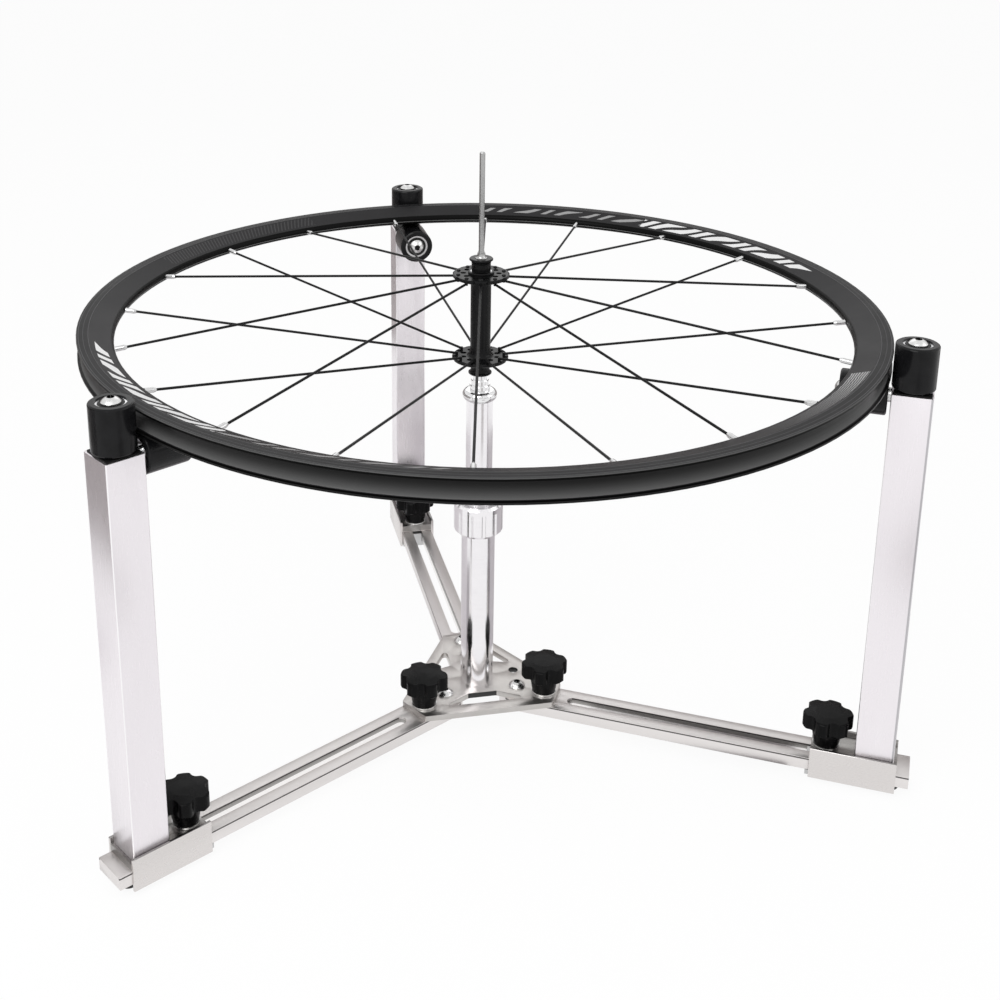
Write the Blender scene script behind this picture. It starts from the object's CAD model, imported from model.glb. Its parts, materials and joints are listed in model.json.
import json
import math

import bmesh
import bpy
from mathutils import Matrix, Vector

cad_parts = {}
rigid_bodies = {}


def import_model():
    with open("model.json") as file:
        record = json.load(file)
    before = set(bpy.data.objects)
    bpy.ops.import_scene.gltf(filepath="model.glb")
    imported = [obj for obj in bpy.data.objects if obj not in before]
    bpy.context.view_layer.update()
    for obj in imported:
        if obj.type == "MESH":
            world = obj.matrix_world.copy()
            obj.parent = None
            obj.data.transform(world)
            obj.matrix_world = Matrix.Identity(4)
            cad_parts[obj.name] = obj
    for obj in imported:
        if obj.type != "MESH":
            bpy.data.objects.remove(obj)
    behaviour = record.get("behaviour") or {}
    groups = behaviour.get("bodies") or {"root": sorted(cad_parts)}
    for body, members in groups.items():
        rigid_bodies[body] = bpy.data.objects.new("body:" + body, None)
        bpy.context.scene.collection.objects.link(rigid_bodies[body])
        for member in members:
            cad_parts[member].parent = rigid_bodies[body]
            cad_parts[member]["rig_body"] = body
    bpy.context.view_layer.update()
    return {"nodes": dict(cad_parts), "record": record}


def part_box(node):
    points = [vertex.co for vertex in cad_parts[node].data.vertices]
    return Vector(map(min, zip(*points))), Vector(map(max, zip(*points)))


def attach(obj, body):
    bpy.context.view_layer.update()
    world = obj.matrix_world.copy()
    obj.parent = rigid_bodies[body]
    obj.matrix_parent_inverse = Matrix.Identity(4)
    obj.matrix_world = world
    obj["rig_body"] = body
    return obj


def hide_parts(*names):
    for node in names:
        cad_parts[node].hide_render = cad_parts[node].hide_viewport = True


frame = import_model()
nodes = frame["nodes"]
sides = {"left": 210, "right": -30, "back": 90}  # direction of each arm, degrees
print("frame loaded:", len(nodes), "nodes")

cameraView = {
    "place": (-0.2539, -1.0912, 0.7338),
    "yaw": 10.610,
    "pitch": 17.653,
    "roll": -0.102,
    "lens": 53.179,
    "sensor": 36,
    "shift": (0.08, -0.23),
    "far": 20,
}


def makeCamera(view):
    yaw, pitch, roll = (math.radians(view[turn]) for turn in ("yaw", "pitch", "roll"))
    ahead = Vector((math.sin(yaw) * math.cos(pitch), math.cos(yaw) * math.cos(pitch), -math.sin(pitch)))
    right = ahead.cross(Vector((0, 0, 1))).normalized()
    up = right.cross(ahead)
    across = right * math.cos(roll) + up * math.sin(roll)
    above = up * math.cos(roll) - right * math.sin(roll)
    data = bpy.data.cameras.new("photoCamera")
    data.sensor_width = view["sensor"]
    data.lens = view["lens"]
    data.shift_x, data.shift_y = view["shift"]
    data.clip_end = view["far"]
    camera = bpy.data.objects.new("photoCamera", data)
    turn = Matrix((across, above, -ahead)).transposed().to_4x4()
    camera.matrix_world = Matrix.Translation(view["place"]) @ turn
    bpy.context.scene.collection.objects.link(camera)
    bpy.context.scene.camera = camera


makeCamera(cameraView)
print("camera placed")

mixSockets = {"RGBA": (6, 7, 2), "FLOAT": (2, 3, 0)}  # both inputs and the result of each kind of mix


def opaque(tone):
    return (*tone, 1) if isinstance(tone, tuple) else tone


class Link:
    # wraps one output socket; sums, products and comparisons on it add Math nodes
    def __init__(self, tree, socket=None):
        self.tree = tree
        self.socket = socket

    def add(self, kind, settings=None, sockets=None, output=0):
        # any node: its settings first, then the values or links of its sockets
        made = self.tree.nodes.new(kind)
        for name, value in (settings or {}).items():
            setattr(made, name, value)
        for name, value in (sockets or {}).items():
            if isinstance(value, Link):
                self.tree.links.new(value.socket, made.inputs[name])
            else:
                made.inputs[name].default_value = value
        return Link(self.tree, made.outputs[output])

    def math(self, operation, *values):
        return self.add("ShaderNodeMath", {"operation": operation}, dict(enumerate(values)))

    def __add__(self, other):
        return self.math("ADD", self, other)

    def __radd__(self, other):
        return self.math("ADD", other, self)

    def __sub__(self, other):
        return self.math("SUBTRACT", self, other)

    def __rsub__(self, other):
        return self.math("SUBTRACT", other, self)

    def __mul__(self, other):
        return self.math("MULTIPLY", self, other)

    def __rmul__(self, other):
        return self.math("MULTIPLY", other, self)

    def __pow__(self, other):
        return self.math("POWER", self, other)

    def __rpow__(self, other):
        return self.math("POWER", other, self)

    def __gt__(self, other):
        return self.math("GREATER_THAN", self, other)

    def __lt__(self, other):
        return self.math("LESS_THAN", self, other)

    def between(self, low, high):
        return (self > low) * (self < high)

    def sine(self):
        return self.math("SINE", self)

    def size(self):
        return self.math("ABSOLUTE", self)

    def root(self):
        return self.math("SQRT", self)

    def wrapped(self, whole):
        return self.math("WRAP", self, whole, 0)

    def angle(self, across):
        # degrees of the point (across, self) round the origin
        return self.math("ARCTAN2", self, across) * (180 / math.pi)

    def mix(self, one, two, kind="RGBA"):
        # self is the share of two
        first, second, result = mixSockets[kind]
        sockets = {0: self, first: opaque(one), second: opaque(two)}
        return self.add("ShaderNodeMix", {"data_type": kind}, sockets, result)


class Finish:
    # a material with its Principled shader; the fixed values are the same all over it
    def __init__(self, name, fixed):
        self.material = bpy.data.materials.new(name)
        self.material.use_nodes = True
        self.tree = self.material.node_tree
        self.shader = self.tree.nodes["Principled BSDF"]
        self.start = Link(self.tree)
        for socket, value in fixed.items():
            self.set(socket, opaque(value))

    def set(self, socket, value):
        if isinstance(value, Link):
            self.tree.links.new(value.socket, self.shader.inputs[socket])
        else:
            self.shader.inputs[socket].default_value = value

    def place(self, turn=0):
        # object coordinates in metres, turned back by an arm's direction so that x runs along it
        raw = self.start.add("ShaderNodeTexCoord", output="Object")
        if not turn:
            return raw
        sockets = {"Vector": raw, "Rotation": (0, 0, math.radians(turn))}
        return self.start.add("ShaderNodeMapping", {"vector_type": "TEXTURE"}, sockets)

    def axes(self, vector):
        return [self.start.add("ShaderNodeSeparateXYZ", None, {0: vector}, axis) for axis in "XYZ"]

    def noise(self, vector, scale, detail, stretch=(1, 1, 1)):
        shaped = self.start.add("ShaderNodeVectorMath", {"operation": "MULTIPLY"}, {0: vector, 1: stretch})
        sockets = {"Vector": shaped, "Scale": scale, "Detail": detail, "Roughness": 0.55}
        return self.start.add("ShaderNodeTexNoise", None, sockets)

    def bump(self, height, depth, strength):
        # depth in metres
        sockets = {"Strength": strength, "Distance": depth, "Height": height}
        self.set("Normal", self.start.add("ShaderNodeBump", None, sockets))


noiseSpread = {"gain": 1.6, "foot": 0.3}  # a noise keeps to the middle of 0 to 1


def scaled(noise, low, high):
    # spreads the middle range of a noise over low to high
    span = high - low
    return noise.math("MULTIPLY_ADD", noise, span * noiseSpread["gain"], low - span * noiseSpread["foot"])


# the marks of the drawn bars: x runs along the arm, y across it, z up
armMarks = {
    "top": -0.0004,
    "top tone": (0.66, 0.635, 0.625),
    "edge foot": -0.0016,
    "outer edge": 0.0136,
    "slot edge": (0.0044, 0.0056),
    "slot edge ends": (0.078, 0.352),
    "edge tone": (0.10, 0.095, 0.095),
    "wall": 0.0049,
    "wall ends": (0.080, 0.350),
    "wall middle": -0.0050,
    "wall tones": ((0.42, 0.41, 0.40), (1.0, 0.98, 0.97)),
}


def markArm(tone, x, y, z, marks=armMarks):
    # darker milled top, dark broken edges, and the walls of the slot
    across = y.size()
    tone = (z > marks["top"]).mix(tone, marks["top tone"])
    slotEdge = across.between(*marks["slot edge"]) * x.between(*marks["slot edge ends"])
    edges = ((across > marks["outer edge"]) + slotEdge) * z.between(marks["edge foot"], marks["top"])
    tone = edges.mix(tone, marks["edge tone"])
    walls = (across < marks["wall"]) * x.between(*marks["wall ends"]) * (z < marks["edge foot"])
    return walls.mix(tone, (z < marks["wall middle"]).mix(*marks["wall tones"]))


carriageMarks = {
    "channel": 0.0152,
    "channel foot": 0.0008,
    "channel tone": (0.34, 0.33, 0.32),
    "edge": 0.0110,
    "edge tone": (0.30, 0.29, 0.285),
}


def markCarriage(tone, x, y, z, marks=carriageMarks):
    # a darker channel between the side walls, and their dark top edges
    channel = (y.size() < marks["channel"]) * (z > marks["channel foot"])
    tone = channel.mix(tone, marks["channel tone"])
    return (z > marks["edge"]).mix(tone, marks["edge tone"])


postMarks = {
    "axis": 0.33305,
    "corner": 0.0143,
    "corner tone": (1.0, 0.99, 1.0),
    "band": 0.0131,
    "band tone": (0.52, 0.51, 0.53),
}


def markPost(tone, x, y, z, marks=postMarks):
    # bright corners, and a darker band beside one outer corner
    apart = x - marks["axis"]
    corners = (apart.size() > marks["corner"]) * (y.size() > marks["corner"])
    tone = corners.mix(tone, marks["corner tone"])
    band = (apart > marks["band"]) * (apart + y < 0)
    return band.mix(tone, marks["band tone"])


barGrain = {
    "fine": 2600,
    "broad": 55,
    "speck": 900,
    "level": ((0.02, 1, 1), (0.12, 1, 1)),  # stretch of the fine and the broad grain
    "upright": ((1, 1, 0.02), (1, 1, 0.15)),
    "broad share": 0.55,
    "speck share": 0.2,
    "speck roughness": 0.03,
    "bump": (0.000012, 0.5),
}
barLooks = {
    "post": {
        "run": "upright",
        "tones": ((0.84, 0.80, 0.83), (0.95, 0.915, 0.945)),
        "roughness": (0.22, 0.36),
        "mark": markPost,
    },
    "arm": {
        "run": "level",
        "tones": ((0.72, 0.69, 0.68), (0.88, 0.85, 0.84)),
        "roughness": (0.31, 0.45),
        "mark": markArm,
    },
    "carriage": {
        "run": "level",
        "tones": ((0.69, 0.66, 0.645), (0.75, 0.72, 0.71)),
        "roughness": (0.21, 0.35),
        "mark": markCarriage,
    },
}


def drawnMetal(name, look, turn, grain=barGrain):
    # satin bar with fine lines along its length and slow changes of tone
    metal = Finish(name, {"Metallic": 1.0})
    here = metal.place(turn)
    fineStretch, broadStretch = grain[look["run"]]
    fine = metal.noise(here, grain["fine"], 3, fineStretch)
    broad = metal.noise(here, grain["broad"], 3, broadStretch)
    speck = metal.noise(here, grain["speck"], 2)
    broadShare, speckShare = grain["broad share"], grain["speck share"]
    tone = (fine * (1 - broadShare) + broad * broadShare).mix(*look["tones"])
    metal.set("Base Color", look["mark"](tone, *metal.axes(here)))
    metal.set("Roughness", scaled(fine, *look["roughness"]) + speck * grain["speck roughness"])
    metal.bump(fine * (1 - speckShare) + speck * speckShare, *grain["bump"])
    return metal.material


plateLook = {
    "tones": ((0.47, 0.45, 0.435), (0.60, 0.58, 0.56)),
    "roughness": (0.30, 0.38),
    "cloud": (60, 4),  # scale and detail
    "cutter": 0.12,  # how far in front of the column the cutter turned
    "lines": 5200,
    "line roughness": 0.02,
    "bump": (0.000003, 0.5),
    "hole": (0.0341, 0.0054),  # how far beside and behind the column
    "hole radius": 0.0043,
    "window wall": (-0.0232, -0.0221),
    "window half": 0.0125,
    "wall top": 0.0046,
    "wall tone": (0.055, 0.055, 0.055),
}


def plateMetal(look):
    # milled plate: fine arcs of the cutter and a soft cloudiness
    # the walls in the fold holes and at the front window are dark
    metal = Finish("plateSilver", {"Metallic": 1.0})
    here = metal.place()
    x, y, z = metal.axes(here)
    ahead = y + look["cutter"]
    cutter = ((x * x + ahead * ahead).root() * look["lines"]).sine()
    cloud = metal.noise(here, *look["cloud"])
    across = x.size() - look["hole"][0]
    along = y - look["hole"][1]
    hole = (across * across + along * along).root() < look["hole radius"]
    window = y.between(*look["window wall"]) * (x.size() < look["window half"])
    walls = (hole + window) * (z < look["wall top"])
    metal.set("Base Color", walls.mix(scaled(cloud, 0, 1).mix(*look["tones"]), look["wall tone"]))
    metal.set("Roughness", scaled(cloud, *look["roughness"]) + cutter * look["line roughness"])
    metal.bump(cutter, *look["bump"])
    return metal.material


turnedLooks = {
    "columnPolish": {
        "tones": ((0.82, 0.80, 0.82), (0.96, 0.945, 0.96)),
        "roughness": (0.10, 0.19),
        "rings": 1166.667,
    },
    "coneChrome": {
        "tones": ((0.74, 0.74, 0.75), (0.90, 0.90, 0.90)),
        "roughness": (0.03, 0.12),
        "rings": 1500,
    },
    "rodSteel": {
        "tones": ((0.34, 0.34, 0.34), (0.56, 0.56, 0.555)),
        "roughness": (0.18, 0.27),
        "rings": 1333.333,
    },
    "bearingSteel": {
        "tones": ((0.62, 0.62, 0.63), (0.84, 0.84, 0.85)),
        "roughness": (0.10, 0.19),
        "rings": 1500,
    },
    "nippleSilver": {
        "tones": ((0.50, 0.50, 0.50), (0.72, 0.72, 0.72)),
        "roughness": (0.21, 0.30),
        "rings": 1000,
    },
    "clampSteel": {
        "tones": ((0.46, 0.46, 0.46), (0.62, 0.62, 0.62)),
        "roughness": (0.28, 0.37),
        "rings": 1166.667,
    },
}
ringStretch = (0.02, 0.02, 1)
latheGrain = {"ring detail": 3, "cloud": (130, 3), "cloud share": 0.4, "bump": (0.000006, 0.4)}


def turnedMetal(name, grain=latheGrain):
    # turned on a lathe: fine rings round the axis over a faint cloud
    look = turnedLooks[name]
    metal = Finish(name, {"Metallic": 1.0})
    here = metal.place()
    rings = metal.noise(here, look["rings"], grain["ring detail"], ringStretch)
    cloud = metal.noise(here, *grain["cloud"])
    share = grain["cloud share"]
    metal.set("Base Color", (rings * (1 - share) + cloud * share).mix(*look["tones"]))
    metal.set("Roughness", scaled(rings, *look["roughness"]))
    metal.bump(rings, *grain["bump"])
    return metal.material


screwLook = {
    "tones": ((0.60, 0.60, 0.60), (0.80, 0.80, 0.79)),
    "roughness": (0.17, 0.33),
    "cloud": (420, 4),
    "fine": (3800, 2),
    "bump": (0.000006, 0.5),
    "socket radius": 0.0027,
    "socket tone": (0.02, 0.02, 0.02),
    "sockets": {  # how the screw stands, where its axis is, and where its head begins
        "guide": ("upright", 0.33305, 0.33),
        "support": ("level", 0.31365, 0.29),
        "pivot": ("upright", 0.0365, 0.005),
        "second": ("upright", 0.0603, 0.005),
    },
}


def socketMask(metal, look, turn, socket):
    # the bottom of a hexagon socket, on the arm with this direction
    x, y, z = metal.axes(metal.place(turn))
    stand, axis, limit = look["sockets"][socket]
    if stand == "upright":
        across = x - axis
        within = z > limit
    else:
        across = z - axis
        within = x < limit
    return ((across * across + y * y).root() < look["socket radius"]) * within


def screwSteel(name, turns, sockets, look=screwLook):
    # bright zinc on screws, with light wear, and grime in the sockets
    metal = Finish(name, {"Metallic": 1.0})
    here = metal.place()
    cloud = metal.noise(here, *look["cloud"])
    fine = metal.noise(here, *look["fine"])
    masks = [socketMask(metal, look, turn, socket) for turn in turns for socket in sockets]
    steel = scaled(cloud, 0, 1).mix(*look["tones"])
    metal.set("Base Color", sum(masks[1:], masks[0]).mix(steel, look["socket tone"]))
    metal.set("Roughness", scaled(cloud, *look["roughness"]))
    metal.bump(fine, *look["bump"])
    return metal.material


# plain dark skins: fine and cloud give the scale and detail of a noise
# bump gives the depth and strength of the fine one
skinLooks = {
    "footRubber": {
        "tones": ((0.022, 0.022, 0.023), (0.060, 0.058, 0.055)),
        "spread": 0.8,
        "roughness": (0.66, 0.86),
        "shine": 0.5,
        "fine": (1800, 4),
        "cloud": (160, 4),
        "bump": (0.00005, 0.6),
    },
    "blackNylon": {
        "tones": ((0.012, 0.012, 0.012), (0.025, 0.025, 0.025)),
        "spread": 1,
        "roughness": (0.40, 0.51),
        "shine": 0.13,
        "fine": (2400, 3),
        "cloud": (70, 3),
        "bump": (0.00002, 0.6),
    },
    "plugBlack": {
        "tones": ((0.005, 0.005, 0.005), (0.012, 0.012, 0.012)),
        "spread": 1,
        "roughness": (0.37, 0.48),
        "shine": 0.13,
        "fine": (2400, 3),
        "cloud": (70, 3),
        "bump": (0.00002, 0.6),
    },
    "knobBlack": {
        "tones": ((0.002, 0.002, 0.0022), (0.006, 0.006, 0.0063)),
        "spread": 1,
        "roughness": (0.19, 0.30),
        "shine": 0.08,
        "fine": (2400, 3),
        "cloud": (70, 3),
        "bump": (0.00003, 0.6),
    },
    "rollerNylon": {
        "tones": ((0.004, 0.004, 0.0045), (0.011, 0.011, 0.012)),
        "spread": 1,
        "roughness": (0.12, 0.23),
        "ripple": 0.04,
        "shine": 0.17,
        "fine": (3000, 2),
        "cloud": (90, 3),
        "bump": (0.000006, 0.5),
    },
    "spokeBlack": {
        "tones": ((0.004, 0.004, 0.0044), (0.012, 0.012, 0.0125)),
        "spread": 1,
        "roughness": (0.26, 0.40),
        "shine": 0.12,
        "fine": (2600, 2),
        "cloud": (300, 3),
        "bump": (0.000006, 0.5),
    },
}


def darkSkin(name):
    # rubber, moulded plastic or black coat with a fine grain and slow changes of tone
    look = skinLooks[name]
    skin = Finish(name, {"Specular IOR Level": look["shine"]})
    here = skin.place()
    fine = skin.noise(here, *look["fine"])
    cloud = skin.noise(here, *look["cloud"])
    skin.set("Base Color", scaled(cloud, 0, look["spread"]).mix(*look["tones"]))
    roughness = scaled(cloud, *look["roughness"])
    skin.set("Roughness", roughness + fine * look["ripple"] if "ripple" in look else roughness)
    skin.bump(fine, *look["bump"])
    return skin.material


hubLook = {
    "fixed": {"Coat Weight": 0.05, "Coat Roughness": 0.05, "Specular IOR Level": 0.12},
    "tones": ((0.003, 0.003, 0.0033), (0.008, 0.008, 0.0085)),
    "roughness": (0.18, 0.28),
    "rings": (900, 2),
    "cloud": (160, 3),
    "bump": (0.000004, 0.4),
}


def hubBlack(look):
    # turned and anodised black under a thin gloss
    skin = Finish("hubBlack", look["fixed"])
    here = skin.place()
    rings = skin.noise(here, *look["rings"], ringStretch)
    cloud = skin.noise(here, *look["cloud"])
    skin.set("Base Color", (rings * 0.5 + cloud * 0.5).mix(*look["tones"]))
    skin.set("Roughness", scaled(rings, *look["roughness"]))
    skin.bump(rings, *look["bump"])
    return skin.material


# radii from the wheel's axis, heights from the rim's middle, directions round the rim in degrees
rimLook = {
    "middle": 0.3387,
    "shine": 0.065,
    "cloud": (40, 4),
    "fine": (1500, 2),
    "fine share": 0.1,
    "bump": (0.0001, 0.7),
    "tones": ((0.009, 0.0086, 0.0095), (0.017, 0.0162, 0.0176)),
    "roughness": (0.27, 0.38),
    "track": 0.3075,
    "track tone": (0.012, 0.0117, 0.0124),
    "lines": ((0.3152, 0.9), (0.3118, 0.5), (0.3079, 0.8)),  # radius and strength
    "line half": 0.0002,
    "line height": 0.0085,
    "line tone": (0.11, 0.11, 0.115),
    "nose": 0.2915,
    "nose tone": (0.003, 0.003, 0.003),
    "bed radius": 0.310,
    "bed half": 0.0062,
    "bed tones": ((0.013, 0.013, 0.013), (0.115, 0.115, 0.115)),  # at the top and at the bottom
    "bed fall": 2.2,
    "lip radius": 0.3155,
    "lip heights": (0.0062, 0.0088),
    "lip tone": (0.001, 0.001, 0.001),
    "lip face": (0.0071, 0.0083),
    "lip face tone": (0.012, 0.012, 0.012),
    "brim": (0.3163, 0.0084),
    "brim share": 0.5,
    "seam radius": 0.2905,
    "seam heights": (-0.0015, -0.0009),
    "bright": (0.16, 0.16, 0.16),
}
rimPrint = {
    "clear": 0.004,
    "slope": (0.2935, 0.3062),
    "tone": (0.85, 0.85, 0.85),
    "faint tone": (0.9, 0.9, 0.9),
    "rows": (44, 221),  # directions of their middles
    "row span": 37,  # half the length of a row
    "row ends": (-58.1, 55.0),
    "row radius": 0.2998,
    "bar turns": 60,
    "bar slant": 520,
    "bar waver": (23, 1.4),
    "bold from": 0.05,
    "bar limits": (0.35, -0.3),  # this and the next two are for faint and for bold bars
    "bar heights": (0.0045, 0.0060),
    "bar strengths": (0.4, 1.0),
    "taper": 0.4,
    "hatch": (127, 17),  # direction of its middle and half its length, as for the streaks
    "hatch lines": (150, 900),
    "hatch strength": 0.035,
    "streaks": (304.5, 17),
    "streak lines": 3600,
    "streak strength": 0.6,
    "streak gloss": 0.2,
    "wander": (90, 2),
    "wander reach": 9,
}
slantRadius = 0.3  # where slanted prints cross their own direction


def alongPrint(turn, centre, span):
    # -1 to 1 from one end of a print to the other
    return ((turn - (centre - 180)).wrapped(360) - 180) * (1 / span)


def rimBars(turn, radius, look):
    # rows of slanted bars, bold at one end and faint at the other
    rows = []
    for centre in look["rows"]:
        share = alongPrint(turn, centre, look["row span"])
        often, much = look["bar waver"]
        waver = (share * often).sine() * much
        lean = share * look["bar turns"] + (radius - slantRadius) * look["bar slant"] + waver
        bold = share < look["bold from"]
        stripe = lean.sine() > bold.mix(*look["bar limits"], "FLOAT")
        tall = (1 - share * share * look["taper"]) * bold.mix(*look["bar heights"], "FLOAT")
        within = lean.between(*look["row ends"]) * ((radius - look["row radius"]).size() < tall)
        rows.append(stripe * within * bold.mix(*look["bar strengths"], "FLOAT"))
    return sum(rows[1:], rows[0])


def rimHatch(turn, radius, look):
    # very faint slanted lines
    share = alongPrint(turn, *look["hatch"])
    often, slant = look["hatch lines"]
    lines = (share * often + (radius - slantRadius) * slant).sine() > 0.5
    return (share.size() < 1) * lines * look["hatch strength"]


def rimStreaks(turn, radius, wander, look):
    # broken lines round the rim that fade in
    share = alongPrint(turn, *look["streaks"])
    fading = (share.size() < 1) * (share * 0.5 + 0.5)
    lines = (radius * look["streak lines"] + wander).sine() > 0.1
    return fading * fading * lines * look["streak strength"]


def rimFaces(base, lines, radius, above, look):
    # the tones of tracks, nose, tyre bed and lips
    height = above.size()
    tone = (radius > look["track"]).mix(base, look["track tone"])
    tone = lines.mix(tone, look["line tone"])
    tone = (radius < look["nose"]).mix(tone, look["nose tone"])
    half = look["bed half"]
    down = (half - above) * (0.5 / half)
    bed = (down.math("MAXIMUM", down, 0) ** look["bed fall"]).mix(*look["bed tones"])
    tone = ((radius > look["bed radius"]) * (height < half)).mix(tone, bed)
    lip = (radius > look["lip radius"]) * height.between(*look["lip heights"])
    tone = lip.mix(tone, look["lip tone"])
    lowerFace = lip * height.between(*look["lip face"]) * (above < 0)
    tone = lowerFace.mix(tone, look["lip face tone"])
    brimRadius, brimHeight = look["brim"]
    brim = (radius > brimRadius) * (above > brimHeight)
    seam = (radius < look["seam radius"]) * above.between(*look["seam heights"])
    return (brim * look["brim share"] + seam).mix(tone, look["bright"])


def rimBlack(look, prints):
    # satin black with turned lines beside the tyre lip
    # plain printed bars, hatching and streaks are on the slopes
    skin = Finish("rimBlack", {"Specular IOR Level": look["shine"]})
    here = skin.place()
    x, y, z = skin.axes(here)
    radius = (x * x + y * y).root()
    above = z - look["middle"]
    turn = y.angle(x)
    cloud = skin.noise(here, *look["cloud"])
    fine = skin.noise(here, *look["fine"])
    wander = skin.noise(here, *prints["wander"]) * prints["wander reach"]
    half = look["line half"]
    rings = [radius.between(at - half, at + half) * strength for at, strength in look["lines"]]
    lines = sum(rings[1:], rings[0]) * (above.size() > look["line height"])
    faces = rimFaces(scaled(cloud, 0, 1).mix(*look["tones"]), lines, radius, above, look)
    printed = above.size() > prints["clear"]
    onSlope = radius.between(*prints["slope"]) * printed
    bars = rimBars(turn, radius, prints) * printed
    hatch = rimHatch(turn, radius, prints) * onSlope
    streaks = rimStreaks(turn, radius, wander, prints) * onSlope
    skin.set("Base Color", bars.mix((hatch + streaks).mix(faces, prints["faint tone"]), prints["tone"]))
    skin.set("Roughness", scaled(cloud, *look["roughness"]) - streaks * prints["streak gloss"])
    skin.bump(fine * look["fine share"] + lines, *look["bump"])
    return skin.material


finishes = {
    "plate_silver": plateMetal(plateLook),
    "screw_steel": screwSteel("screwSteel", sides.values(), ("pivot", "second")),
    "foot_rubber": darkSkin("footRubber"),
    "column_polish": turnedMetal("columnPolish"),
    "black_nylon": darkSkin("blackNylon"),
    "cone_chrome": turnedMetal("coneChrome"),
    "rod_steel": turnedMetal("rodSteel"),
    "hub_black": hubBlack(hubLook),
    "bearing_steel": turnedMetal("bearingSteel"),
    "rim_black": rimBlack(rimLook, rimPrint),
    "spoke_black": darkSkin("spokeBlack"),
    "nipple_silver": turnedMetal("nippleSilver"),
    "clamp_steel": turnedMetal("clampSteel"),
    "plug_black": darkSkin("plugBlack"),
    "roller_black": darkSkin("rollerNylon"),
    "knob_black": darkSkin("knobBlack"),
}
armFinishes = {}  # finishes whose pattern follows the direction of one arm, by node
for side, angle in sides.items():
    for kind, look in barLooks.items():
        armFinishes[kind + "_" + side] = drawnMetal(kind + "Silver." + side, look, angle)
    armFinishes["bolts_" + side] = screwSteel("boltSteel." + side, (angle,), ("guide", "support"))
print("finishes made:", len(bpy.data.materials))

slotOf = {entry["node"]: entry["material_slot"] for entry in frame["record"]["subparts"]}
smoothLimit = 32  # degrees between faces that still shade as one


def finishOf(name):
    return armFinishes[name] if name in armFinishes else finishes[slotOf[name]]


def smoothed(data):
    data.shade_smooth()
    data.set_sharp_from_angle(angle=math.radians(smoothLimit))


for name, part in nodes.items():
    part.data.materials.clear()
    part.data.materials.append(finishOf(name))
    smoothed(part.data)
print("CAD nodes dressed")


def bodyOf(node):
    return nodes[node]["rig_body"]


def finished(mesh, name, node, finish):
    # turns a bmesh into a piece that rides with a node's body
    data = bpy.data.meshes.new(name)
    mesh.to_mesh(data)
    mesh.free()
    data.materials.append(finish)
    smoothed(data)
    piece = bpy.data.objects.new(name, data)
    bpy.context.scene.collection.objects.link(piece)
    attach(piece, bodyOf(node))
    return piece


# width of the broken edges of the plain metal pieces
softEdges = {
    "base_plate": 0.0006,
    "arm_left": 0.0008,
    "arm_right": 0.0008,
    "arm_back": 0.0008,
    "carriage_left": 0.0004,
    "carriage_right": 0.0004,
    "carriage_back": 0.0004,
    "post_left": 0.0004,
    "post_right": 0.0004,
    "post_back": 0.0004,
}
edgeCut = {"merge": 0.000002, "flat": 0.5, "sharp": 35, "segments": 2}  # metres, degrees, degrees, faces


def softened(node, width, cut):
    # a copy of the node with its sharp edges rounded
    mesh = bmesh.new()
    mesh.from_mesh(nodes[node].data)
    bmesh.ops.remove_doubles(mesh, verts=mesh.verts, dist=cut["merge"])
    bmesh.ops.dissolve_limit(mesh, angle_limit=math.radians(cut["flat"]), verts=mesh.verts, edges=mesh.edges)
    limit = math.radians(cut["sharp"])
    sharp = [edge for edge in mesh.edges if len(edge.link_faces) == 2 and edge.calc_face_angle() > limit]
    bmesh.ops.bevel(
        mesh,
        geom=sharp,
        offset=width,
        affect="EDGES",
        segments=cut["segments"],
        profile=0.5,
        material=-1,
        clamp_overlap=True,
    )
    bmesh.ops.triangulate(mesh, faces=[face for face in mesh.faces if len(face.verts) > 4])
    return mesh


for node, width in softEdges.items():
    piece = finished(softened(node, width, edgeCut), "soft." + node, node, finishOf(node))
    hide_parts(node)
print("edges softened on", len(softEdges), "pieces")

seal = {"inner": 0.0059, "outer": 0.0093, "low": 0.0005, "high": 0.00008, "chamfer": 0.00025, "steps": 48}


def sealRing(ring):
    # a ring with a bead round its inner edge, facing up from the origin
    inner, outer, cut = ring["inner"], ring["outer"], ring["chamfer"]
    profile = [
        (inner, -ring["low"]),
        (inner, -cut),
        (inner + cut, -ring["high"]),
        (inner + 3 * cut, -ring["high"]),
        (inner + 4 * cut, -cut),
        (outer - cut, -cut),
        (outer, -2 * cut),
        (outer, -ring["low"]),
    ]
    mesh = bmesh.new()
    corners = [mesh.verts.new((reach, 0, height)) for reach, height in profile]
    edges = [mesh.edges.new(pair) for pair in zip(corners, corners[1:] + corners[:1])]
    bmesh.ops.spin(
        mesh,
        geom=corners + edges,
        cent=(0, 0, 0),
        axis=(0, 0, 1),
        angle=math.tau,
        steps=ring["steps"],
        use_merge=True,
    )
    bmesh.ops.recalc_face_normals(mesh, faces=mesh.faces)
    return mesh


def addSeals(ring):
    # one in the recess of each bearing face that shows
    for side, angle in sides.items():
        along = Vector((math.cos(math.radians(angle)), math.sin(math.radians(angle)), 0))
        low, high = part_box("guide_bearings_" + side)
        reach = (high.z - low.z) / 2
        for kind, outward in (("guide", Vector((0, 0, 1))), ("support", -along)):
            node = kind + "_bearings_" + side
            low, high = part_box(node)
            face = (low + high) / 2 + outward * reach
            mesh = sealRing(ring)
            mesh.transform(Matrix.Translation(face) @ outward.to_track_quat("Z", "Y").to_matrix().to_4x4())
            finished(mesh, "seal." + kind + "." + side, node, finishes["black_nylon"])


addSeals(seal)
print("seals set")

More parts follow.
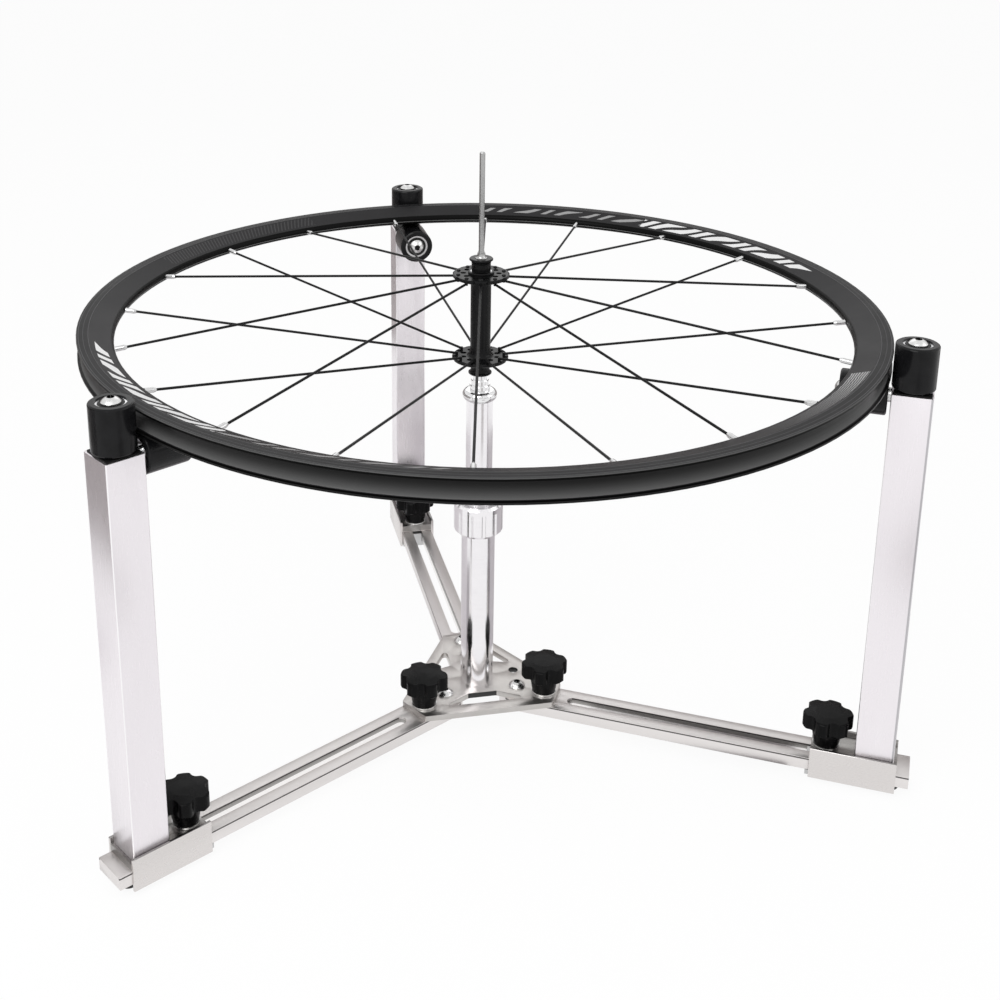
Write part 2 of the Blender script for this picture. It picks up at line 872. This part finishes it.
# turns are directions round the column in degrees, the rest is in metres and watts
stageLight = {
    "floor": -0.0206,
    "floor size": 8,
    "floor tone": (1.0, 1.0, 1.0),
    "floor glow": 0.92,
    "world": 0.60,
    "aim": (0, 0, 0.15),
    "lamps": {
        "key": {"place": (-1.1, -1.3, 1.9), "size": 1.5, "power": 26},
        "fill": {"place": (1.6, -0.7, 1.2), "size": 1.2, "power": 4},
        "rim": {"place": (0.3, 1.6, 1.5), "size": 1.4, "power": 3},
    },
    "sheet lift": 0.0005,
    "sheet steps": 24,
    "cards": ({"reach": 0.95, "top": 0.50, "turns": (10, 195), "tone": (0.42, 0.39, 0.385)},),
    "mats": (
        {"reach": (0.10, 0.27), "turns": (-36, -12), "tone": (0.22, 0.20, 0.21)},
        {"reach": (0.27, 0.60), "turns": (-27, -12), "tone": (0.45, 0.42, 0.44)},
        {"reach": (0.10, 0.60), "turns": (-12, 82), "tone": (0.60, 0.57, 0.59)},
        {"reach": (0.10, 0.60), "turns": (100, 178), "tone": (0.76, 0.73, 0.75)},
        {"reach": (0.10, 0.27), "turns": (178, 200), "tone": (0.50, 0.47, 0.49)},
        {"reach": (0.55, 1.10), "turns": (272, 292), "tone": (0.55, 0.53, 0.53)},
    ),
}


def stagePiece(mesh, name, finish):
    data = bpy.data.meshes.new(name)
    mesh.to_mesh(data)
    mesh.free()
    piece = bpy.data.objects.new(name, data)
    bpy.context.scene.collection.objects.link(piece)
    data.materials.append(finish)
    return piece


def seenBy(start, rays):
    # 1 for these kinds of ray
    seen = [start.add("ShaderNodeLightPath", output="Is " + kind + " Ray") for kind in rays]
    most = seen[0]
    for other in seen[1:]:
        most = most.math("MAXIMUM", most, other)
    return most


def makeFloor(light):
    # pale floor that keeps the shadow and shows as white
    fixed = {"Base Color": light["floor tone"], "Roughness": 0.9, "Specular IOR Level": 0.1}
    pale = Finish("floorPale", fixed)
    glow = pale.start.add("ShaderNodeEmission", None, {"Color": (1, 1, 1, 1), "Strength": 1.0})
    share = seenBy(pale.start, ("Camera", "Glossy")) * light["floor glow"]
    surface = Link(pale.tree, pale.shader.outputs[0])
    blend = pale.start.add("ShaderNodeMixShader", None, {0: share, 1: surface, 2: glow})
    pale.tree.links.new(blend.socket, pale.tree.nodes["Material Output"].inputs["Surface"])
    mesh = bmesh.new()
    bmesh.ops.create_grid(mesh, x_segments=1, y_segments=1, size=light["floor size"])
    bmesh.ops.translate(mesh, verts=mesh.verts, vec=(0, 0, light["floor"]))
    floor = stagePiece(mesh, "floor", pale.material)


def makeWorld(light):
    # white behind the object, a plain level of light for the rest
    world = bpy.data.worlds.new("studio")
    world.use_nodes = True
    bpy.context.scene.world = world
    tree = world.node_tree
    back = tree.nodes["Background"]
    back.inputs["Color"].default_value = (1, 1, 1, 1)
    seen = seenBy(Link(tree), ("Camera", "Glossy", "Transmission"))
    strength = seen.mix(light["world"], 1.0, "FLOAT")
    tree.links.new(strength.socket, back.inputs["Strength"])


def makeSheet(name, start, end, turns, tone, steps):
    # the edge from start to end, swept round the column; only polished pieces mirror the sheet
    mesh = bmesh.new()
    edge = mesh.edges.new([mesh.verts.new((reach, 0, height)) for reach, height in (start, end)])
    swing = Matrix.Rotation(math.radians(turns[0]), 3, "Z")
    bmesh.ops.rotate(mesh, verts=mesh.verts, cent=(0, 0, 0), matrix=swing)
    sweep = math.radians(turns[1] - turns[0])
    bmesh.ops.spin(mesh, geom=[*edge.verts, edge], cent=(0, 0, 0), axis=(0, 0, 1), angle=sweep, steps=steps)
    sheet = stagePiece(mesh, name, Finish(name, {"Base Color": tone, "Roughness": 0.9}).material)
    sheet.visible_camera = False
    sheet.visible_diffuse = False
    sheet.visible_shadow = False


def makeSheets(light):
    low = light["floor"] + light["sheet lift"]
    steps = light["sheet steps"]
    for i, card in enumerate(light["cards"]):
        reach = card["reach"]
        makeSheet("card." + str(i), (reach, low), (reach, card["top"]), card["turns"], card["tone"], steps)
    for i, mat in enumerate(light["mats"]):
        near, far = mat["reach"]
        makeSheet("mat." + str(i), (near, low), (far, low), mat["turns"], mat["tone"], steps)


def makeLamps(light):
    for name, lamp in light["lamps"].items():
        data = bpy.data.lights.new(name, "AREA")
        data.size = lamp["size"]
        data.energy = lamp["power"]
        lampObject = bpy.data.objects.new(name, data)
        aim = Vector(light["aim"]) - Vector(lamp["place"])
        turn = aim.to_track_quat("-Z", "Y").to_matrix().to_4x4()
        lampObject.matrix_world = Matrix.Translation(lamp["place"]) @ turn
        bpy.context.scene.collection.objects.link(lampObject)


makeFloor(stageLight)
makeWorld(stageLight)
makeSheets(stageLight)
makeLamps(stageLight)
bpy.context.scene.view_settings.view_transform = "Standard"
print("stage set")
